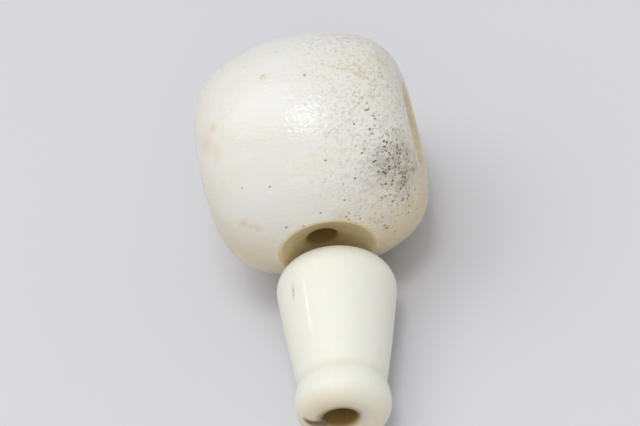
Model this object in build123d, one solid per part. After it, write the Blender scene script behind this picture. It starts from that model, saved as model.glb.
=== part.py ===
from build123d import *
import os
from math import acos, asin, atan2, cos, degrees, radians, sin, sqrt

# A guru bead and its tower bead, both turned from bone, from a string of prayer beads.
# Millimetres. The origin is the guru bead's centre, on the axis of its string bore.
# +X runs along the string bore and +Z is up. Both beads lie on the level surface z = -guru_radius.
# The tower bead lies towards -Y, with its domed end at the lower rim of the third hole's dish.

# Guru bead: a barrel turned about the string bore
guru_radius = 8.0
guru_half_length = 7.05
guru_belly_arc = 11.5       # radius of the long arc of the barrel's side
guru_shoulder_arc = 3.8     # radius of the arc that carries the side round to the end face
end_dish_radius = 3.3
third_dish_depth = 1.5      # below the barrel's widest radius
third_hole_drop = 11.4      # degrees that the third hole points below the horizontal
third_hole_shift = -0.2     # along X, from the middle of its dish
string_bore_radius = 1.0
third_hole_radius = 0.95

# Tower bead: a domed, tapering stem with a ring foot, turned about its own bore
tower_radius = 3.92
crown_arc = 13.0            # radius of the gentle middle of the domed end
tower_shoulder_arc = 1.68   # radius of the arc round the edge of the domed end
side_arc = 125.0            # radius of the slightly swelling side
side_slope_start = 6.9      # degrees that the side leans in where the shoulder ends
side_slope_end = 10.1       # degrees that it leans in at the neck
neck_arc = 1.25
ring_radius = 3.08
ring_back_arc = 3.3         # the foot ring, towards the neck
ring_front_arc = 1.83       # the foot ring, towards the end face
foot_face_radius = 2.36
foot_dish_radius = 2.0
foot_edge_round = 0.35      # rounding between the foot ring and its end face
tower_bore_radius = 1.05

# Both beads
dish_cutter_radius = 5.3    # the ball-ended cutter that sinks a dish at a hole
rim_round = 0.12            # rounding of dish rims and hole mouths

# Where the tower bead lies
crown_distance = 6.94       # from the string bore's axis to the middle of its domed end, along Y
tower_yaw = 4.3             # degrees that its foot swings from -Y towards -X


def turned(outline_edges, corner_rounds):
    """The solid that a closed outline in the XY plane makes about X, with its corners rounded."""
    outline = make_face(Wire(outline_edges))
    for corner, round_radius in corner_rounds:
        outline = fillet(outline.vertices().sort_by_distance(corner)[0], round_radius)
    return revolve(outline, axis=Axis.X)


def dish_sink(radius):
    """How far the dish cutter's ball rises from its deepest point to where it has this radius."""
    return dish_cutter_radius - sqrt(dish_cutter_radius**2 - radius**2)


def make_guru_blank():
    """The barrel with its end dishes and its string bore, before the third hole is made."""
    centre_gap = guru_belly_arc - guru_shoulder_arc
    belly_half_turn = degrees(asin((guru_half_length - guru_shoulder_arc) / centre_gap))
    shoulder_turn = 90 - belly_half_turn
    end_radius = guru_radius - guru_belly_arc + centre_gap * cos(radians(belly_half_turn))
    mouth = guru_half_length - dish_sink(end_dish_radius) + dish_sink(string_bore_radius)
    left_dish = RadiusArc((-mouth, string_bore_radius), (-guru_half_length, end_dish_radius),
                          dish_cutter_radius)
    left_end = Line(left_dish @ 1, (-guru_half_length, end_radius))
    left_shoulder = JernArc(left_end @ 1, (0, 1), guru_shoulder_arc, -shoulder_turn)
    belly = JernArc(left_shoulder @ 1, left_shoulder % 1, guru_belly_arc, -2 * belly_half_turn)
    right_shoulder = JernArc(belly @ 1, belly % 1, guru_shoulder_arc, -shoulder_turn)
    right_end = Line(right_shoulder @ 1, (guru_half_length, end_dish_radius))
    right_dish = RadiusArc(right_end @ 1, (mouth, string_bore_radius), dish_cutter_radius)
    bore_wall = Line(right_dish @ 1, left_dish @ 0)
    edges = [left_dish, left_end, left_shoulder, belly, right_shoulder, right_end, right_dish, bore_wall]
    rims = [left_dish @ 0, left_dish @ 1, right_dish @ 0, right_dish @ 1]
    return turned(edges, [(rim, rim_round) for rim in rims])


def make_guru_bead():
    """The barrel with its third hole, which runs from a dish in its side into the string bore."""
    drop = radians(third_hole_drop)
    third_way = Vector(0, -cos(drop), -sin(drop))
    dish_bottom = third_way * (guru_radius - third_dish_depth)
    cutter_ball = Pos(third_way * dish_cutter_radius + dish_bottom) * Sphere(dish_cutter_radius)
    bead = make_guru_blank() - cutter_ball
    dish_rim = bead.faces().sort_by_distance(dish_bottom)[0].edges().sort_by(SortBy.LENGTH)[-1]
    bead = bead.fillet(rim_round, [dish_rim])
    drill = Cylinder(third_hole_radius, guru_radius, align=(Align.CENTER, Align.CENTER, Align.MIN))
    drill_start = Vector(third_hole_shift, 0, 0)
    bead -= Plane(origin=drill_start, z_dir=third_way) * drill
    closed_edges = bead.edges().filter_by(lambda edge: edge.is_closed)
    mouth = closed_edges.sort_by_distance(drill_start + dish_bottom)[0]
    return bead.fillet(rim_round, [mouth])


def make_tower_blank():
    """The tower bead along +X from the middle of its domed end, with its bore and its foot's dish."""
    shoulder_gap = crown_arc - tower_shoulder_arc
    crown_turn = degrees(asin((tower_radius - tower_shoulder_arc) / shoulder_gap))
    bore_turn = degrees(asin(tower_bore_radius / crown_arc))
    neck_angle = radians(side_slope_end)
    crown = CenterArc((crown_arc, 0), crown_arc, 180 - bore_turn, bore_turn - crown_turn)
    shoulder = JernArc(crown @ 1, crown % 1, tower_shoulder_arc, crown_turn - 90 - side_slope_start)
    side = JernArc(shoulder @ 1, shoulder % 1, side_arc, side_slope_start - side_slope_end)
    neck_radius = (side @ 1).Y - neck_arc * (1 - cos(neck_angle))
    ring_rise = degrees(acos(1 - (ring_radius - neck_radius) / (neck_arc + ring_back_arc)))
    ring_fall = degrees(acos(1 - (ring_radius - foot_face_radius) / ring_front_arc))
    neck = JernArc(side @ 1, side % 1, neck_arc, side_slope_end + ring_rise)
    ring_back = JernArc(neck @ 1, neck % 1, ring_back_arc, -ring_rise)
    ring_front = JernArc(ring_back @ 1, (1, 0), ring_front_arc, -ring_fall)
    foot = (ring_front @ 1).X
    foot_face = Line(ring_front @ 1, (foot, foot_dish_radius))
    mouth = foot - dish_sink(foot_dish_radius) + dish_sink(tower_bore_radius)
    foot_dish = RadiusArc(foot_face @ 1, (mouth, tower_bore_radius), dish_cutter_radius)
    bore_wall = Line(foot_dish @ 1, crown @ 0)
    edges = [crown, shoulder, side, neck, ring_back, ring_front, foot_face, foot_dish, bore_wall]
    rims = [(crown @ 0, rim_round), (foot_face @ 1, rim_round), (foot_dish @ 1, rim_round)]
    blank = turned(edges, rims + [(foot_face @ 0, foot_edge_round)])
    return blank, shoulder.center_point, ring_front.center_point


def make_tower_bead():
    """The tower bead, lying on its shoulder and its foot ring in front of the third hole."""
    blank, shoulder_centre, ring_centre = make_tower_blank()
    rest_line = ring_centre - shoulder_centre
    arc_difference = tower_shoulder_arc - ring_front_arc
    dip = asin(arc_difference / rest_line.length) + atan2(-rest_line.Y, rest_line.X)
    crown_height = shoulder_centre.X * sin(dip) + shoulder_centre.Y * cos(dip) + tower_shoulder_arc
    place = Pos(0, -crown_distance, crown_height - guru_radius)
    return place * Rot(0, 0, -90 - tower_yaw) * Rot(0, degrees(dip), 0) * blank


os.makedirs("parts", exist_ok=True)
export_step(make_guru_bead(), "parts/guru_bead.step")
export_step(make_tower_bead(), "parts/tower_bead.step")
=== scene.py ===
import math

import bmesh
import bpy
import numpy as np
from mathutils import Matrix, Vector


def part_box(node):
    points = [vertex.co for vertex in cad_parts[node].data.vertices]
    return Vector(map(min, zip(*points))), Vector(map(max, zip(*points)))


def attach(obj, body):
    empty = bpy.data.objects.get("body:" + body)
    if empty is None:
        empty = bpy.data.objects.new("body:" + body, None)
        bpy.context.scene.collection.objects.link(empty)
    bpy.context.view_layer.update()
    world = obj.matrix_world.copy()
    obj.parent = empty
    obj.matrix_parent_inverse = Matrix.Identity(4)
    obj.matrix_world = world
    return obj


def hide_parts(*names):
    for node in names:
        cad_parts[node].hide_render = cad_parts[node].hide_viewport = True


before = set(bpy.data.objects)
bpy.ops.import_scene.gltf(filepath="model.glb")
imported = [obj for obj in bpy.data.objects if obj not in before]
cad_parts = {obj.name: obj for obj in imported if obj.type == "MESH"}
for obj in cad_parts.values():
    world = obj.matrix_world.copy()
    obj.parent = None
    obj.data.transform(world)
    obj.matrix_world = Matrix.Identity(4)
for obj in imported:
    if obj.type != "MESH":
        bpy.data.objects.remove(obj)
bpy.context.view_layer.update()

import openvdb
from mathutils import Matrix, Vector

# A guru bead and its tower bead, turned from bone. Each bead is a distance field in millimetres, meshed,
# cut finer where it has pores and chips, and drawn onto the field again before the pores are sunk in it.

MM = 0.001

# ------------------------------------------------------------------ the beads' sizes, in mm
GURU_RADIUS = 8.0
GURU_HALF_LENGTH = 7.05
BELLY_ARC = 11.5
SHOULDER_ARC = 3.8
END_DISH_RADIUS = 3.3
THIRD_DISH_DEPTH = 1.5
THIRD_DROP = math.radians(11.4)
THIRD_HOLE_SHIFT = -0.2
STRING_BORE = 1.0
THIRD_HOLE = 0.95
DISH_CUTTER = 5.3

CROWN_ARC = 13.0
TOWER_RADIUS = 3.92
TOWER_SHOULDER_ARC = 1.68
SIDE_ARC = 125.0
SIDE_SLOPE_START = math.radians(6.9)
SIDE_SLOPE_END = math.radians(10.1)
NECK_ARC = 1.25
RING_RADIUS = 3.08
RING_BACK_ARC = 3.3
RING_FRONT_ARC = 1.83
FOOT_FACE_RADIUS = 2.36
FOOT_DISH_RADIUS = 2.0
TOWER_BORE = 1.05
CROWN_DISTANCE = 6.94
TOWER_YAW = math.radians(4.3)
INSET = 0.003          # how far the bone stays inside the sizes above

# How widely the edges are rounded, in mm
RIM_ROUND = 0.3
THIRD_RIM_ROUND = 0.22
FOOT_EDGE_ROUND = 0.55
CHIP_EDGE_ROUND = 0.15

THIRD_WAY = np.array([0.0, -math.cos(THIRD_DROP), -math.sin(THIRD_DROP)])


def smooth_max(a, b, blend):
    """The larger of two fields, rounded over where they are within blend of each other."""
    near = np.maximum(blend - np.abs(a - b), 0) / blend
    return np.maximum(a, b) + near * near * blend / 4


def dish_sink(radius):
    return DISH_CUTTER - math.sqrt(DISH_CUTTER**2 - radius**2)


# ------------------------------------------------------------------ the guru bead's field
CENTRE_GAP = BELLY_ARC - SHOULDER_ARC
BELLY_TURN = math.asin((GURU_HALF_LENGTH - SHOULDER_ARC) / CENTRE_GAP)
BELLY_CENTRE = GURU_RADIUS - BELLY_ARC
SHOULDER_CENTRE = (GURU_HALF_LENGTH - SHOULDER_ARC, BELLY_CENTRE + CENTRE_GAP * math.cos(BELLY_TURN))


def barrel_field(p):
    along = np.abs(p[:, 0])
    out = np.hypot(p[:, 1], p[:, 2])
    belly = np.hypot(along, out - BELLY_CENTRE) - BELLY_ARC
    shoulder = np.hypot(along - SHOULDER_CENTRE[0], out - SHOULDER_CENTRE[1]) - SHOULDER_ARC
    end = along - GURU_HALF_LENGTH
    on_belly = along < (out - BELLY_CENTRE) * math.tan(BELLY_TURN)
    return np.where(on_belly, belly, np.where(out > SHOULDER_CENTRE[1], shoulder, end))


def dish_fields(p):
    """How far a point is inside each dish cutter's ball: the two ends' and the third hole's."""
    end_centre = GURU_HALF_LENGTH - dish_sink(END_DISH_RADIUS) + DISH_CUTTER
    ends = DISH_CUTTER - np.hypot(np.abs(p[:, 0]) - end_centre, np.hypot(p[:, 1], p[:, 2]))
    third_centre = THIRD_WAY * (GURU_RADIUS - THIRD_DISH_DEPTH + DISH_CUTTER)
    third = DISH_CUTTER - np.linalg.norm(p - third_centre, axis=1)
    return ends, third


def bore_fields(p):
    """How far a point is inside the string bore and inside the third hole."""
    string = STRING_BORE - np.hypot(p[:, 1], p[:, 2])
    beside = p - np.array([THIRD_HOLE_SHIFT, 0, 0])
    height = np.maximum(beside @ THIRD_WAY, 0)
    third = THIRD_HOLE - np.linalg.norm(beside - height[:, None] * THIRD_WAY, axis=1)
    return string, third


UNEVENNESS = 0.012     # height of the barrel's broad lobes


def hand_turning(p):
    """The slight unevenness of a barrel turned and sanded by hand; it only ever takes bone away."""
    around = np.arctan2(p[:, 2], -p[:, 1])
    lobes = np.sin(2 * around + 0.35 * p[:, 0] + 0.8) + 0.6 * np.sin(3 * around - 0.5 * p[:, 0])
    return INSET + UNEVENNESS * (1.6 + lobes)


def guru_field(p):
    ends, third = dish_fields(p)
    string_bore, third_bore = bore_fields(p)
    field = smooth_max(barrel_field(p) + hand_turning(p), ends, RIM_ROUND)
    field = smooth_max(field, third, THIRD_RIM_ROUND)
    field = smooth_max(field, string_bore, RIM_ROUND)
    return smooth_max(field, third_bore, RIM_ROUND)


# ------------------------------------------------------------------ the tower bead's field
TOWER_GAP = CROWN_ARC - TOWER_SHOULDER_ARC
CROWN_TURN = math.asin((TOWER_RADIUS - TOWER_SHOULDER_ARC) / TOWER_GAP)
TOWER_SHOULDER = (CROWN_ARC - TOWER_GAP * math.cos(CROWN_TURN), TOWER_RADIUS - TOWER_SHOULDER_ARC)
SIDE_START = (
    TOWER_SHOULDER[0] + TOWER_SHOULDER_ARC * math.sin(SIDE_SLOPE_START),
    TOWER_SHOULDER[1] + TOWER_SHOULDER_ARC * math.cos(SIDE_SLOPE_START),
)
SIDE_CENTRE = (
    SIDE_START[0] - SIDE_ARC * math.sin(SIDE_SLOPE_START),
    SIDE_START[1] - SIDE_ARC * math.cos(SIDE_SLOPE_START),
)
SIDE_END = (
    SIDE_CENTRE[0] + SIDE_ARC * math.sin(SIDE_SLOPE_END),
    SIDE_CENTRE[1] + SIDE_ARC * math.cos(SIDE_SLOPE_END),
)
NECK_CENTRE = (
    SIDE_END[0] + NECK_ARC * math.sin(SIDE_SLOPE_END),
    SIDE_END[1] + NECK_ARC * math.cos(SIDE_SLOPE_END),
)
RING_RISE = math.acos(1 - (RING_RADIUS - NECK_CENTRE[1] + NECK_ARC) / (NECK_ARC + RING_BACK_ARC))
RING_CREST = NECK_CENTRE[0] + (NECK_ARC + RING_BACK_ARC) * math.sin(RING_RISE)
RING_FALL = math.acos(1 - (RING_RADIUS - FOOT_FACE_RADIUS) / RING_FRONT_ARC)
TOWER_LENGTH = RING_CREST + RING_FRONT_ARC * math.sin(RING_FALL)


def arc_height(u, centre, radius, side=1):
    """An arc's distance from the axis at each place u along it, on the side away from its centre."""
    return centre[1] + side * np.sqrt(np.maximum(radius**2 - (u - centre[0]) ** 2, 0))


def tower_side(u):
    """The tower bead's radius at each place along its axis, from its shoulder to its foot."""
    ring_back_start = RING_CREST - RING_BACK_ARC * math.sin(RING_RISE)
    pieces = [
        (SIDE_END[0], arc_height(u, SIDE_CENTRE, SIDE_ARC)),
        (ring_back_start, arc_height(u, NECK_CENTRE, NECK_ARC, side=-1)),
        (RING_CREST, arc_height(u, (RING_CREST, RING_RADIUS - RING_BACK_ARC), RING_BACK_ARC)),
    ]
    radius = arc_height(u, (RING_CREST, RING_RADIUS - RING_FRONT_ARC), RING_FRONT_ARC)
    for end, height in reversed(pieces):
        radius = np.where(u < end, height, radius)
    return radius


# The chip beside the bore in the foot's end face: where it starts and ends, and how wide it is there
CHIP_START = np.array([11.95, -1.2, -0.1])
CHIP_END = np.array([12.05, -2.65, 1.05])
CHIP_START_RADIUS = 0.2
CHIP_END_RADIUS = 0.05


def chip_field(q):
    """How far a point is inside the chip, which is a cone with a wavy middle line."""
    way = CHIP_END - CHIP_START
    t = np.clip((q - CHIP_START) @ way / (way @ way), 0, 1)
    middle = CHIP_START + t[:, None] * way
    middle[:, 2] += 0.03 * np.sin(9 * t)
    radius = CHIP_END_RADIUS + (CHIP_START_RADIUS - CHIP_END_RADIUS) * (1 - t) ** 1.4
    return radius - np.linalg.norm(q - middle, axis=1)


WANDER_START = 5.0     # along the tower bead's axis
WANDER_LENGTH = 7.0
WANDER_LEFT = 0.22     # how far off centre the bore is at its foot end
WANDER_UP = 0.17


def tower_bore_field(q):
    """How far a point is inside the bore, which was drilled by hand and wanders towards the foot."""
    wander = np.clip((q[:, 0] - WANDER_START) / WANDER_LENGTH, 0, 1)
    return TOWER_BORE - np.hypot(q[:, 1] + WANDER_LEFT * wander, q[:, 2] - WANDER_UP * wander)


def tower_field(q):
    """The field in the tower bead's own axes: +X from the middle of its domed end to its foot."""
    u = q[:, 0]
    out = np.hypot(q[:, 1], q[:, 2])
    crown = np.hypot(u - CROWN_ARC, out) - CROWN_ARC
    shoulder = np.hypot(u - TOWER_SHOULDER[0], out - TOWER_SHOULDER[1]) - TOWER_SHOULDER_ARC
    side = (out - tower_side(u)) * math.cos(SIDE_SLOPE_END)
    on_crown = out < (CROWN_ARC - u) * math.tan(CROWN_TURN)
    past_shoulder = (u - TOWER_SHOULDER[0]) > (out - TOWER_SHOULDER[1]) * math.tan(SIDE_SLOPE_START)
    field = np.where(past_shoulder, side, np.where(on_crown, crown, shoulder)) + INSET
    field = smooth_max(field, u - TOWER_LENGTH + INSET, FOOT_EDGE_ROUND)
    dish_centre = TOWER_LENGTH - dish_sink(FOOT_DISH_RADIUS) + DISH_CUTTER
    dish = DISH_CUTTER - np.hypot(u - dish_centre, out)
    field = smooth_max(field, dish, RIM_ROUND)
    field = smooth_max(field, tower_bore_field(q), RIM_ROUND)
    return smooth_max(field, chip_field(q), CHIP_EDGE_ROUND)


def tower_place():
    """The matrix from the tower bead's own axes, in mm, to the frame's, also in mm."""
    reach = (RING_CREST - TOWER_SHOULDER[0], RING_RADIUS - RING_FRONT_ARC - TOWER_SHOULDER[1])
    length = math.hypot(*reach)
    dip = math.asin((TOWER_SHOULDER_ARC - RING_FRONT_ARC) / length) + math.atan2(-reach[1], reach[0])
    height = TOWER_SHOULDER[0] * math.sin(dip) + TOWER_SHOULDER[1] * math.cos(dip) + TOWER_SHOULDER_ARC
    lift = Matrix.Translation((0, -CROWN_DISTANCE, height - GURU_RADIUS))
    turn = Matrix.Rotation(-math.pi / 2 - TOWER_YAW, 4, "Z") @ Matrix.Rotation(dip, 4, "Y")
    return np.array(lift @ turn)


# ------------------------------------------------------------------ meshing
def mesh_points(field, low, high, pitch):
    """Points and quads of the field's zero surface inside a box, sampled at this pitch."""
    counts = [int(math.ceil((high[i] - low[i]) / pitch)) + 1 for i in range(3)]
    axes = [low[i] + pitch * np.arange(counts[i]) for i in range(3)]
    values = np.empty(counts, np.float32)
    plane_y, plane_z = np.meshgrid(axes[1], axes[2], indexing="ij")
    for i, x in enumerate(axes[0]):
        p = np.stack([np.full(plane_y.size, x), plane_y.ravel(), plane_z.ravel()], -1)
        values[i] = field(p).reshape(counts[1:])
    grid = openvdb.FloatGrid(3 * pitch)
    grid.copyFromArray(np.clip(values, -3 * pitch, 3 * pitch))
    points, quads = grid.convertToQuads(0.0)
    return points * pitch + np.array(low), quads


GURU_PITCH = 0.15
TOWER_PITCH = 0.1
ALONG_FIBRES = np.array([0.7, 1.0, 1.0])   # pores are longer along the bone's fibres


def slope_of(field, points):
    reach = 0.004
    slope = np.stack([field(points + reach * e) - field(points - reach * e) for e in np.eye(3)], -1)
    return slope / np.maximum(np.linalg.norm(slope, axis=1, keepdims=True), 1e-9)


def draw_onto(field, points, steps=3):
    """Moves each point along the field's slope until it lies on the zero surface."""
    for _ in range(steps):
        points = points - slope_of(field, points) * np.clip(field(points), -0.2, 0.2)[:, None]
    return points


def surface_spots(field, along, angles, start_radius, steps=8):
    """Points on the surface at these places along the bore and angles round it, from -Y up to +Z."""
    turn = np.radians(angles)
    way = np.stack([np.zeros_like(turn), -np.cos(turn), np.sin(turn)], -1)
    radius = np.full(len(turn), start_radius)
    for _ in range(steps):
        radius -= field(np.stack([along, 0 * turn, 0 * turn], -1) + radius[:, None] * way)
    return np.stack([along, 0 * turn, 0 * turn], -1) + radius[:, None] * way


def nearest_spot(points, centres, radii):
    """Each point's distance to its nearest spot in units of that spot's radius, and which one it is."""
    best = np.full(len(points), 1e9)
    which = np.zeros(len(points), int)
    for i, (centre, radius) in enumerate(zip(centres, radii)):
        apart = np.linalg.norm((points - centre) * ALONG_FIBRES, axis=1) / radius
        closer = apart < best
        best[closer] = apart[closer]
        which[closer] = i
    return best, which


def make_mesh(name, field, low, high, pitch, centres, reaches):
    """A closed mesh of the field, with four times as many points each way within reach of a centre."""
    points, quads = mesh_points(field, low, high, pitch)
    points = draw_onto(field, points)
    mesh = bpy.data.meshes.new(name)
    mesh.from_pydata(points.tolist(), [], quads.tolist())
    fine = bmesh.new()
    fine.from_mesh(mesh)
    middles = points[quads].mean(axis=1)
    apart, _ = nearest_spot(middles, centres, reaches)
    fine.faces.ensure_lookup_table()
    edges = {edge for i in np.flatnonzero(apart < 1) for edge in fine.faces[i].edges}
    bmesh.ops.subdivide_edges(fine, edges=list(edges), cuts=3, use_grid_fill=True)
    fine.to_mesh(mesh)
    fine.free()
    points = draw_onto(field, read_points(mesh))
    return mesh, points


def read_points(mesh):
    flat = np.empty(len(mesh.vertices) * 3, np.float32)
    mesh.vertices.foreach_get("co", flat)
    return flat.reshape(-1, 3).astype(float)


def sink_pits(field, points, centres, radii, depths):
    """Sinks a rounded pit at each centre, and tells how deep in a pit each point lies, from 0 to 1."""
    apart, which = nearest_spot(points, centres, radii)
    depth = np.maximum(1 - apart**2, 0) ** 2
    sunk = points - slope_of(field, points) * (depth * depths[which])[:, None]
    darkness = np.clip(0.2 + depths[which] / 0.13, 0, 0.85)
    return sunk, darkness * np.clip((1.2 - apart) / 0.7, 0, 1)


def write_marks(mesh, marks):
    """Stores each mark on the mesh's points for the material to read."""
    for name, values in marks.items():
        if values.ndim == 2:
            mesh.attributes.new(name, "FLOAT_VECTOR", "POINT").data.foreach_set(
                "vector", values.astype(np.float32).ravel())
        else:
            mesh.attributes.new(name, "FLOAT", "POINT").data.foreach_set(
                "value", values.astype(np.float32))


def place_piece(name, mesh, points, material):
    mesh.vertices.foreach_set("co", (points * MM).astype(np.float32).ravel())
    mesh.polygons.foreach_set("use_smooth", np.ones(len(mesh.polygons), bool))
    mesh.update()
    mesh.materials.append(material)
    piece = bpy.data.objects.new(name, mesh)
    bpy.context.scene.collection.objects.link(piece)
    return piece


# ------------------------------------------------------------------ materials
def add_node(tree, kind, settings, sockets):
    """A node with these properties; a socket may be given another node's output or a plain value."""
    node = tree.nodes.new(kind)
    for name, value in settings.items():
        setattr(node, name, value)
    for name, value in sockets.items():
        if isinstance(value, bpy.types.NodeSocket):
            tree.links.new(value, node.inputs[name])
        else:
            node.inputs[name].default_value = value
    return node


def stored(tree, name, output="Fac"):
    return add_node(tree, "ShaderNodeAttribute", {"attribute_name": name}, {}).outputs[output]


def noise(tree, place, stretch, scale, detail):
    """Noise in the bead's own millimetres, stretched along its bore."""
    placed = add_node(tree, "ShaderNodeVectorMath", {"operation": "MULTIPLY"},
                      {0: place, 1: (stretch, 1, 1)}).outputs["Vector"]
    sockets = {"Vector": placed, "Scale": scale, "Detail": detail, "Roughness": 0.6}
    return add_node(tree, "ShaderNodeTexNoise", {}, sockets).outputs["Fac"]


def noise_cells(tree, place, scale):
    """How far each place is from the nearest of many scattered points, in units of their spacing."""
    return add_node(tree, "ShaderNodeTexVoronoi", {}, {"Vector": place, "Scale": scale}).outputs["Distance"]


def spread(tree, value, low, high, to_low=0.0, to_high=1.0):
    sockets = {"Value": value, "From Min": low, "From Max": high, "To Min": to_low, "To Max": to_high}
    return add_node(tree, "ShaderNodeMapRange", {}, sockets).outputs["Result"]


def calc(tree, operation, first, second):
    return add_node(tree, "ShaderNodeMath", {"operation": operation}, {0: first, 1: second}).outputs[0]


def blend(tree, amount, under, over):
    def colour(value):
        return value if isinstance(value, bpy.types.NodeSocket) else (*value, 1)
    sockets = {0: amount, 6: colour(under), 7: colour(over)}
    return add_node(tree, "ShaderNodeMix", {"data_type": "RGBA"}, sockets).outputs[2]


# Colours that both beads share
SPECKLE = (0.52, 0.45, 0.34)
# Aged bone, also used as painted shade
AGED_AND_SHADED_BONE = (0.66, 0.565, 0.37)
OCHRE = (0.52, 0.33, 0.12)
POCK = (0.40, 0.34, 0.22)
HOLLOW_LIGHT = (0.75, 0.62, 0.37)
HOLLOW_DARK = (0.64, 0.505, 0.26)
# Painted shade deep in the dishes, near their holes
HOLLOW_DEEP_SHADE = (0.50, 0.36, 0.14)
# Grey grime, also used as painted shade
GRIME_AND_SHADE = (0.33, 0.30, 0.24)
BORE_WALL = (0.40, 0.255, 0.08)
# Pores and the chip, also painted shade in the tower's bore
PIT_AND_SHADE = (0.135, 0.095, 0.05)


def bone_material(name, body, warm, grain, grain_amount, worn_bone, roughness, relief):
    """Turned bone: body colour mottled with a warmer one, fibres along the bore, stains, dark pores, and
    painted shade on the underside, in the dishes and in the bores.
    """
    material = bpy.data.materials.new(name)
    material.use_nodes = True
    tree = material.node_tree
    shader = tree.nodes["Principled BSDF"]
    place = stored(tree, "bead_mm", "Vector")
    mottle = noise(tree, place, 0.5, 0.33, 3)
    fibre = noise(tree, place, 0.1, 4.5, 4)
    speckle = noise(tree, place, 0.8, 4.5, 1)
    coarse = stored(tree, "coarse")
    colour = blend(tree, spread(tree, mottle, 0.38, 0.68), body, warm)
    colour = blend(tree, spread(tree, fibre, 0.45, 0.75, 0, grain_amount), colour, grain)
    roughest = calc(tree, "POWER", coarse, 1.8)
    speckled = calc(tree, "MULTIPLY", spread(tree, speckle, 0.5, 0.7, 0, 0.68), roughest)
    colour = blend(tree, speckled, colour, SPECKLE)
    smear = noise(tree, place, 0.6, 1.6, 4)
    # Painted shade on the guru's underside and the tower's end face, and warmer guru ends
    colour = blend(tree, stored(tree, "aged"), colour, AGED_AND_SHADED_BONE)
    colour = blend(tree, stored(tree, "ochre"), colour, OCHRE)
    worn = calc(tree, "MULTIPLY", stored(tree, "rim"), spread(tree, fibre, 0.3, 0.6, 0.3, 0.8))
    colour = blend(tree, worn, colour, worn_bone)
    cells = noise_cells(tree, place, 2.8)
    scarce = spread(tree, noise(tree, place, 1.0, 0.9, 2), 0.44, 0.66)
    pocks = calc(tree, "MULTIPLY", spread(tree, cells, 0.34, 0.12), calc(tree, "MULTIPLY", coarse, scarce))
    colour = blend(tree, calc(tree, "MULTIPLY", pocks, 0.5), colour, POCK)
    hollow_shade = blend(tree, spread(tree, fibre, 0.3, 0.7), HOLLOW_LIGHT, HOLLOW_DARK)
    # Painted shade: the dish darker towards its hole
    shade_near_hole = spread(tree, stored(tree, "cutter"), 2.4, 1.0, 0, 0.6)
    hollow_shade = blend(tree, shade_near_hole, hollow_shade, HOLLOW_DEEP_SHADE)
    colour = blend(tree, stored(tree, "hollow"), colour, hollow_shade)
    # The grey smudge, and painted shade in the right end's dish
    grimy_and_shaded = calc(tree, "MULTIPLY", stored(tree, "grime"), spread(tree, smear, 0.35, 0.65, 0.1, 1.0))
    colour = blend(tree, grimy_and_shaded, colour, GRIME_AND_SHADE)
    colour = blend(tree, stored(tree, "bore"), colour, BORE_WALL)
    # Pores, the chip, and painted shade in the tower's bore
    colour = blend(tree, stored(tree, "pit"), colour, PIT_AND_SHADE)
    tree.links.new(colour, shader.inputs["Base Color"])
    gloss = spread(tree, fibre, 0.3, 0.7, roughness - 0.05, roughness + 0.08)
    gloss = calc(tree, "ADD", gloss, calc(tree, "MULTIPLY", coarse, 0.12))
    tree.links.new(gloss, shader.inputs["Roughness"])
    cutter_marks = calc(tree, "SINE", calc(tree, "MULTIPLY", stored(tree, "cutter"), 26.0), 0.0)
    cutter_marks = calc(tree, "MULTIPLY", cutter_marks, stored(tree, "tooled"))
    height = calc(tree, "ADD", calc(tree, "MULTIPLY", fibre, 0.5), calc(tree, "MULTIPLY", cutter_marks, 0.25))
    height = calc(tree, "ADD", height, calc(tree, "MULTIPLY", speckle, spread(tree, coarse, 0, 1, 1.2, 3.5)))
    height = calc(tree, "SUBTRACT", height, calc(tree, "MULTIPLY", pocks, 3.5))
    bump = add_node(tree, "ShaderNodeBump", {}, {"Height": height, "Strength": 1.0, "Distance": relief})
    tree.links.new(bump.outputs["Normal"], shader.inputs["Normal"])
    shader.inputs["Subsurface Weight"].default_value = 0.15
    shader.inputs["Subsurface Radius"].default_value = (1.0, 0.7, 0.45)
    shader.inputs["Subsurface Scale"].default_value = 0.0006
    return material


guru_bone = bone_material("guru_bone", (0.752, 0.742, 0.705), (0.735, 0.705, 0.62), (0.62, 0.55, 0.42), 0.16,
                          (0.80, 0.74, 0.60), 0.19, 0.000018)
tower_bone = bone_material("tower_bone", (0.785, 0.78, 0.69), (0.775, 0.768, 0.675), (0.72, 0.66, 0.50), 0.18,
                           (0.93, 0.93, 0.86), 0.45, 0.000003)

# ------------------------------------------------------------------ the guru bead
OUTSIDE_GURU = 9.0      # distances from the bores that lie outside each bead
OUTSIDE_TOWER = 4.5
# Its pores: place along the string bore, degrees round it from -Y up to +Z, radius
SEEN_PORES = [
    (1.4, 84, 0.07), (1.6, 40, 0.06), (3.1, 28, 0.07), (2.3, 27, 0.05), (-2.3, 34, 0.06), (-4.1, 36, 0.05),
    (-2.0, 12, 0.07), (-0.9, 11, 0.06), (0.4, 16, 0.06), (2.1, 19, 0.06), (1.9, 10, 0.06), (2.1, 12, 0.05),
    (2.0, 8, 0.06), (2.7, 6, 0.06), (5.4, 42, 0.09), (3.9, 39, 0.07), (4.5, 33, 0.08), (4.9, 26, 0.08),
    (4.6, 27, 0.07), (5.3, 26, 0.09), (4.3, 71, 0.05), (4.0, -6, 0.08), (4.1, -9, 0.09), (-1.3, 90, 0.05),
]
random = np.random.default_rng(11)
crowd = 380
crowd_place = np.stack([
    5.7 + 0.75 * random.standard_normal(crowd),
    24 + 16 * random.standard_normal(crowd),
    0.03 + 0.06 * random.random(crowd) ** 2.6,
], -1)
scattered = 70
scattered_place = np.stack([
    random.uniform(-6.2, 6.2, scattered),
    random.uniform(95, 330, scattered),
    0.035 + 0.055 * random.random(scattered) ** 2,
], -1)
pores = np.concatenate([np.array(SEEN_PORES, float), crowd_place, scattered_place])
pores = pores[np.abs(pores[:, 0]) < 6.75]
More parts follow.
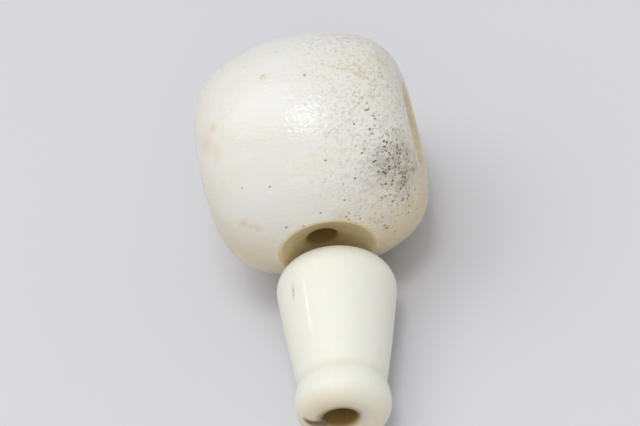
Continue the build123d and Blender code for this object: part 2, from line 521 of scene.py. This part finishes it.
pore_centres = surface_spots(guru_field, pores[:, 0], pores[:, 1], OUTSIDE_GURU)
pore_radii = pores[:, 2]

guru_mesh, guru_points = make_mesh("guru_bead_bone", guru_field, (-7.4, -8.3, -8.3), (7.4, 8.3, 8.3),
                                   GURU_PITCH, pore_centres, pore_radii + 0.12)
guru_smooth = guru_points
guru_points, pits = sink_pits(guru_field, guru_smooth, pore_centres, pore_radii, pore_radii * 1.3)


def stain(spots):
    """How strongly the smooth guru bead's points are stained by spots: along, angle, radius, strength."""
    total = np.zeros(len(guru_smooth))
    for along, angle, radius, strength in spots:
        centre = surface_spots(guru_field, np.array([along]), np.array([angle]), OUTSIDE_GURU)
        apart = np.linalg.norm(guru_smooth - centre, axis=1) / radius
        total = np.maximum(total, strength * np.clip(1 - apart, 0, 1))
    return total


# The grey smudge among the crowded pores
GRIME_CENTRES = surface_spots(guru_field, np.array([6.2, 5.9, 5.3]), np.array([20.0, 28.0, 27.0]),
                              OUTSIDE_GURU)
GRIME_RADII = [1.8, 1.8, 1.5]
ends, third = dish_fields(guru_smooth)
string_bore, third_bore = bore_fields(guru_smooth)
bores = np.maximum(string_bore, third_bore)
from_string = np.hypot(guru_smooth[:, 1], guru_smooth[:, 2])
from_third = np.linalg.norm(guru_smooth - (guru_smooth @ THIRD_WAY)[:, None] * THIRD_WAY, axis=1)
cutter = np.where(ends > third, from_string, from_third)
in_dish = np.clip(1.2 + np.maximum(np.maximum(ends, third), bores) / 0.2, 0, 1)
# Painted shade: the end dishes darker than the third one, and every dish darker towards its hole
in_dish *= np.where(ends > third, 1.15, 1) * (1.1 - 0.08 * cutter)
in_bore = np.clip(1.1 + bores / 0.2, 0, 1)
# Painted shade in the right end's dish, added to the grey smudge
end_dish_shade = 0.4 * np.clip(in_dish, 0, 1) * (ends > third) * (guru_smooth[:, 0] > 0)
near_rim = np.clip(1 - np.abs(np.maximum(ends, third) + 0.14) / 0.14, 0, 1)
up = guru_smooth[:, 2] / GURU_RADIUS
toward_end = np.clip((np.abs(guru_smooth[:, 0]) - 3.5) / 3.5, 0, 1)
write_marks(guru_mesh, {
    "bead_mm": guru_smooth,
    "pit": pits,
    "hollow": np.clip(in_dish, 0, 1),
    "cutter": cutter,
    "tooled": np.clip(in_dish, 0, 1),
    "bore": in_bore,
    "rim": near_rim,
    # Warmer towards the ends, and painted shade: darker and warmer on the underside
    "aged": np.clip(0.22 * toward_end + 1.5 * np.clip(0.36 - up, 0, 1), 0, 1),
    "ochre": stain([
        (-4.7, 16, 0.45, 0.35), (-3.8, 13, 0.4, 0.3), (-4.3, 14.5, 0.35, 0.25), (-5.9, 65, 0.9, 0.2),
        (-5.3, 57, 0.7, 0.22), (-5.2, 72, 0.5, 0.3), (4.8, 82, 0.5, 0.35), (5.2, 69, 0.5, 0.35),
        (6.1, 99, 0.6, 0.25), (-1.3, 89, 0.35, 0.4), (1.5, 11, 0.6, 0.3), (4.05, -8, 0.3, 0.8),
        (-3.0, 170, 0.9, 0.3), (3.5, 215, 1.1, 0.3), (-4.0, 260, 0.8, 0.35), (1.0, 300, 0.7, 0.25),
    ]),
    "coarse": np.clip((guru_smooth[:, 0] + 1.5) / 6.0, 0, 1) * np.clip(1 - in_dish, 0, 1),
    "grime": np.clip(1.2 - nearest_spot(guru_smooth, GRIME_CENTRES, GRIME_RADII)[0], 0, 1) + end_dish_shade,
})
guru_piece = place_piece("guru_bead_bone", guru_mesh, guru_points, guru_bone)

# ------------------------------------------------------------------ the tower bead, in its own axes
TOWER_PORES = [(3.35, 53, 0.05), (3.75, 52, 0.045), (3.05, 54, 0.03), (3.5, 52.5, 0.03)]
tower_scattered = np.stack([
    random.uniform(1.5, 11.0, 26),
    random.uniform(190, 340, 26),
    random.uniform(0.03, 0.06, 26),
], -1)
tower_pores = np.concatenate([np.array(TOWER_PORES), tower_scattered])
tower_centres = surface_spots(tower_field, tower_pores[:, 0], tower_pores[:, 1], OUTSIDE_TOWER)
chip_steps = np.linspace(0, 1, 6)[:, None]
chip_spots = CHIP_START + chip_steps * (CHIP_END - CHIP_START)
fine_centres = np.concatenate([tower_centres, chip_spots])
fine_reaches = np.concatenate([tower_pores[:, 2] + 0.10, np.full(len(chip_spots), 0.5)])
tower_mesh, tower_points = make_mesh("tower_bead_bone", tower_field, (-0.3, -4.2, -4.2), (12.4, 4.2, 4.2),
                                     TOWER_PITCH, fine_centres, fine_reaches)
tower_smooth = tower_points
tower_points, tower_pits = sink_pits(tower_field, tower_smooth, tower_centres, tower_pores[:, 2],
                                     tower_pores[:, 2])
u = tower_smooth[:, 0]
out = np.hypot(tower_smooth[:, 1], tower_smooth[:, 2])
# The chip, and how dark it is, more so towards the bore
in_chip = np.clip(1.15 + chip_field(tower_smooth) / 0.2, 0, 1)
chip_dark = np.clip(1.0 + 0.4 * (tower_smooth[:, 1] + 1.6), 0.45, 0.95)
tower_bore = tower_bore_field(tower_smooth)
mouth = np.clip(1.1 + tower_bore / 0.3, 0, 1)
# Painted shade on the upper edge of the bore's mouth, strongest at the top
upper_mouth_shade_width = 0.36 + 0.2 * np.clip(tower_smooth[:, 2], 0, 1)
upper_mouth_shade = np.clip(1.2 + tower_bore / upper_mouth_shade_width, 0, 1) * np.clip(0.6 + tower_smooth[:, 2], 0.1, 0.92)
upper_mouth_shade *= u > 11
# Painted shade deeper inside the bore
deep_bore_shade = 0.45 * np.clip((TOWER_LENGTH - 0.6 - u) / 1.2, 0, 1) * (tower_bore > -0.1)
near_mouth = np.clip((u - 11.6) / 0.5, 0, 1) * np.clip(1 + tower_bore / 0.9, 0, 1)
in_neck = np.clip(1 - np.abs(u - NECK_CENTRE[0] - 0.1) / 0.5, 0, 1)
# A short ochre streak, and a thin pale line along the side
streak_middle = tower_centres[0]
streak = np.clip(1.3 - np.hypot((u - 3.45) / 0.6, (tower_smooth[:, 1] - streak_middle[1]) / 0.12), 0, 1)
streak *= tower_smooth[:, 2] > 0
pale_line_angle = np.degrees(np.arctan2(tower_smooth[:, 2], -tower_smooth[:, 1]))
pale_line = np.clip(1.3 - np.abs(pale_line_angle - 68) / 1.6, 0, 1) * np.clip(2.2 - np.abs(u - 4.9), 0, 1)
write_marks(tower_mesh, {
    "bead_mm": tower_smooth + np.array([40.0, 0, 0]),
    # Pores, the chip, and painted shade at the bore's mouth and deep inside it
    "pit": np.max([tower_pits, in_chip * chip_dark, upper_mouth_shade, deep_bore_shade], axis=0),
    "hollow": np.zeros(len(u)),
    "cutter": out,
    "tooled": np.clip((u - 11.5) / 0.3, 0, 1) * np.clip((FOOT_FACE_RADIUS - out) / 0.3, 0, 1),
    "bore": np.maximum(mouth, in_chip * 0.8),
    "rim": pale_line,
    # Painted shade on the foot's end face, lighter on its right side
    "aged": np.clip((u - 10.9) / 1.1, 0, 1) * (0.72 - 0.12 * np.clip(tower_smooth[:, 1], -1, 2)),
    "ochre": np.maximum(near_mouth * 0.6, np.maximum(in_neck * 0.12, streak * 0.4)),
    "coarse": np.zeros(len(u)),
    "grime": np.zeros(len(u)),
})
place = tower_place()
tower_points = tower_points @ place[:3, :3].T + place[:3, 3]
tower_piece = place_piece("tower_bead_bone", tower_mesh, tower_points, tower_bone)

for piece, node, body, slot in (
    (guru_piece, "guru_bead", "guru", "guru_bone"),
    (tower_piece, "tower_bead", "tower", "tower_bone"),
):
    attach(piece, body)
    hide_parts(node)

# ------------------------------------------------------------------ floor, light and camera
floor_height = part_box("guru_bead")[0].z
floor_mesh = bpy.data.meshes.new("floor")
floor_size = 2.0
floor_mesh.from_pydata(
    [(x * floor_size, y * floor_size, floor_height) for x, y in ((-1, -1), (1, -1), (1, 1), (-1, 1))],
    [],
    [(0, 1, 2, 3)],
)
floor = bpy.data.objects.new("floor", floor_mesh)
bpy.context.scene.collection.objects.link(floor)
floor_material = bpy.data.materials.new("floor_cloth")
floor_material.use_nodes = True
floor_shader = floor_material.node_tree.nodes["Principled BSDF"]
floor_shader.inputs["Base Color"].default_value = (0.618, 0.612, 0.635, 1)
floor_shader.inputs["Roughness"].default_value = 0.9
floor_mesh.materials.append(floor_material)

scene = bpy.context.scene
scene.view_settings.view_transform = "Standard"
world = bpy.data.worlds.new("studio")
scene.world = world
world.use_nodes = True
world.node_tree.nodes["Background"].inputs["Color"].default_value = (0.95, 0.97, 1.0, 1)
world.node_tree.nodes["Background"].inputs["Strength"].default_value = 0.655


def area_light(name, size, power, place_mm, aim_mm):
    data = bpy.data.lights.new(name, "AREA")
    data.shape = "DISK"
    data.size = size * MM
    data.energy = power
    lamp = bpy.data.objects.new(name, data)
    lamp.location = Vector(place_mm) * MM
    lamp.rotation_mode = "QUATERNION"
    lamp.rotation_quaternion = (Vector(aim_mm) - Vector(place_mm)).to_track_quat("-Z", "Y")
    scene.collection.objects.link(lamp)


area_light("overhead_softbox", 300, 0.32, (-125, 60, 312), (0, -5, -4))
area_light("highlight_softbox", 110, 0.30, (22, -75, 345), (0, -5, -4))
area_light("front_fill", 300, 0.20, (20, -330, 200), (0, -5, -4))

CAMERA_AZIMUTH = math.radians(8.8)
CAMERA_ELEVATION = math.radians(45.5)
CAMERA_ROLL = math.radians(19.7)
CAMERA_DISTANCE = 162.3
CAMERA_TARGET = Vector((0.04, -5.49, 0.0))
CAMERA_LENS = 140.6
back = Vector((
    math.sin(CAMERA_AZIMUTH) * math.cos(CAMERA_ELEVATION),
    -math.cos(CAMERA_AZIMUTH) * math.cos(CAMERA_ELEVATION),
    math.sin(CAMERA_ELEVATION),
))
camera_data = bpy.data.cameras.new("camera")
camera_data.lens = CAMERA_LENS
camera_data.clip_start = 0.01
camera = bpy.data.objects.new("camera", camera_data)
camera.rotation_mode = "QUATERNION"
level = (-back).to_track_quat("-Z", "Y")
camera.rotation_quaternion = level @ Matrix.Rotation(-CAMERA_ROLL, 3, "Z").to_quaternion()
camera.location = (CAMERA_TARGET + back * CAMERA_DISTANCE) * MM
scene.collection.objects.link(camera)
scene.camera = camera
